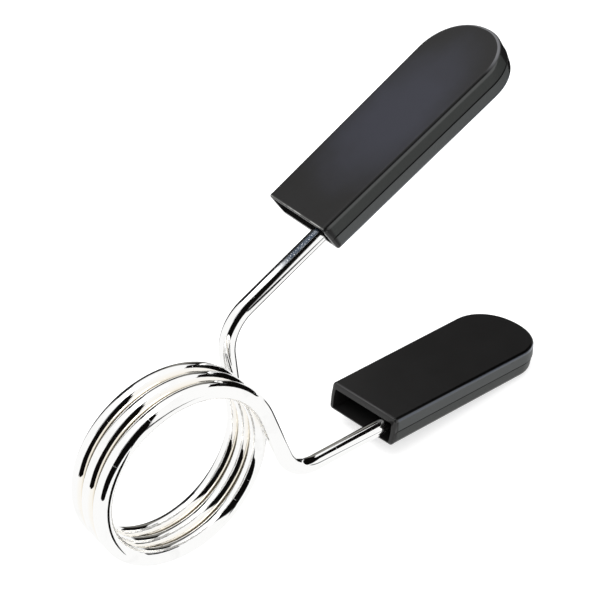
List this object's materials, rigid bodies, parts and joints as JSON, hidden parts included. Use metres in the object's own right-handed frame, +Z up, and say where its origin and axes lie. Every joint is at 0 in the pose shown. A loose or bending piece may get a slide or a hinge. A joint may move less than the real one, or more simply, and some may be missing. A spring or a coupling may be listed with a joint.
{
  "type": "spring barbell collar",
  "caption": "Spring collar that clamps a barbell sleeve in its wire coil; squeezing its two flat plastic grips together opens the coil.",
  "frame": {"origin": "middle of the bounding box, on the surface that the collar lies on", "axes": "+Z up; +Y along the coil's axis, from the front lap to the rear one; +X from the coil towards the grips' tips"},
  "size_m": [0.1812, 0.041, 0.124],
  "materials": {
    "spring_wire": "bright chrome plate on drawn spring steel",
    "grip_plastic": "satin black moulding with a fine grain"
  },
  "bodies": {
    "lower_half": {"spring_coil": "spring_wire", "lower_leg_wire": "spring_wire", "lower_grip": "grip_plastic"},
    "upper_half": {"upper_leg_wire": "spring_wire", "upper_grip": "grip_plastic"}
  },
  "joints": [
    {"name": "squeeze", "type": "hinge", "parent": "lower_half", "child": "upper_half", "pos_m": [-0.06129, -0.00846, 0.0293], "axis": [0, 1, 0], "range_deg": [0, 41], "stiffness_Nm_per_rad": 12, "deforming": ["spring_coil"]}
  ]
}
